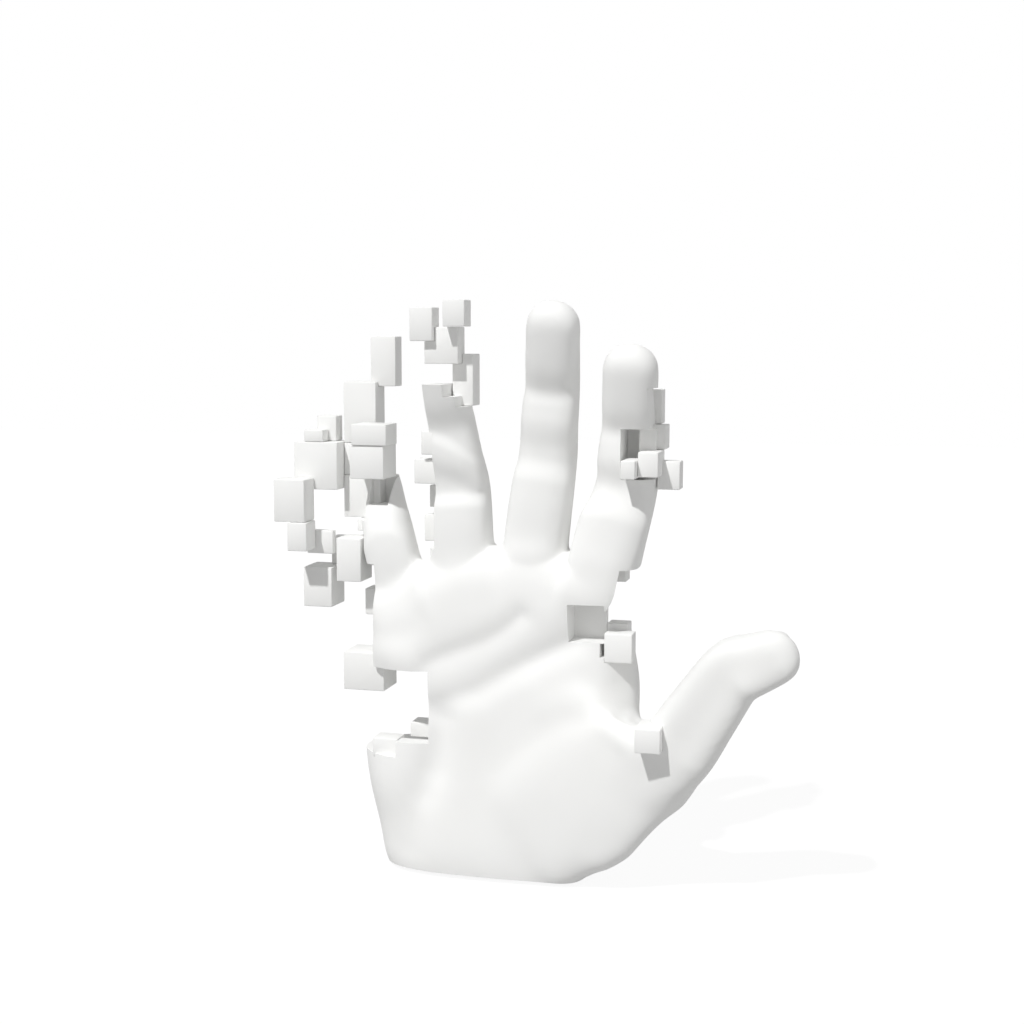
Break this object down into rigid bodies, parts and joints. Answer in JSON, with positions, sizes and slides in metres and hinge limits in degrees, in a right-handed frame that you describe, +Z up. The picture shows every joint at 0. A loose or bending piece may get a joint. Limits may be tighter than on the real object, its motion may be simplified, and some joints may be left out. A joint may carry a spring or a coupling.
{
  "type": "hand sculpture",
  "caption": "Free-standing sculpture of an open right hand that breaks up into square blocks along its outer fingers and palm edges, for display on a table or shelf.",
  "frame": {"origin": "on the ground, on the underside of the felt pad, under the middle of the wrist", "axes": "+Z up along the fingers, the palm faces -Y, the thumb reaches towards +X"},
  "size_m": [0.176, 0.053, 0.19],
  "materials": {
    "resin": "matt white, sanded and sprayed",
    "steel": "ground stock",
    "felt": "pressed wool felt"
  },
  "bodies": {
    "root": {"felt_pad": "felt", "heel_block_1": "resin", "heel_block_2": "resin", "index_block_1": "resin", "index_block_2": "resin", "index_block_3": "resin", "index_block_4": "resin", "index_block_5": "resin", "index_casting": "resin", "index_dowel": "steel", "little_arm_block_1": "resin", "little_arm_block_2": "resin", "little_arm_block_3": "resin", "little_arm_block_4": "resin", "little_arm_block_5": "resin", "little_arm_block_6": "resin", "little_arm_pin": "steel", "little_bar_block_1": "resin", "little_bar_block_2": "resin", "little_bar_block_3": "resin", "little_bar_pin": "steel", "little_casting": "resin", "little_dowel": "steel", "little_side_block_1": "resin", "little_side_block_2": "resin", "little_stack_block_1": "resin", "little_stack_block_2": "resin", "little_stack_pin": "steel", "little_tower_block_1": "resin", "little_tower_block_2": "resin", "little_tower_block_3": "resin", "middle_casting": "resin", "middle_dowel": "steel", "palm_casting": "resin", "palm_edge_block_1": "resin", "palm_edge_block_2": "resin", "palm_edge_block_3": "resin", "palm_side_block_1": "resin", "palm_side_block_2": "resin", "ring_cap_block": "resin", "ring_casting": "resin", "ring_core_block": "resin", "ring_core_pin": "steel", "ring_dowel": "steel", "ring_outer_block": "resin", "ring_post_block": "resin", "ring_post_pin": "steel", "ring_side_block_1": "resin", "ring_side_block_2": "resin", "ring_side_block_3": "resin", "ring_side_block_4": "resin", "thumb_casting": "resin", "thumb_dowel": "steel", "web_block": "resin"}
  },
  "joints": []
}
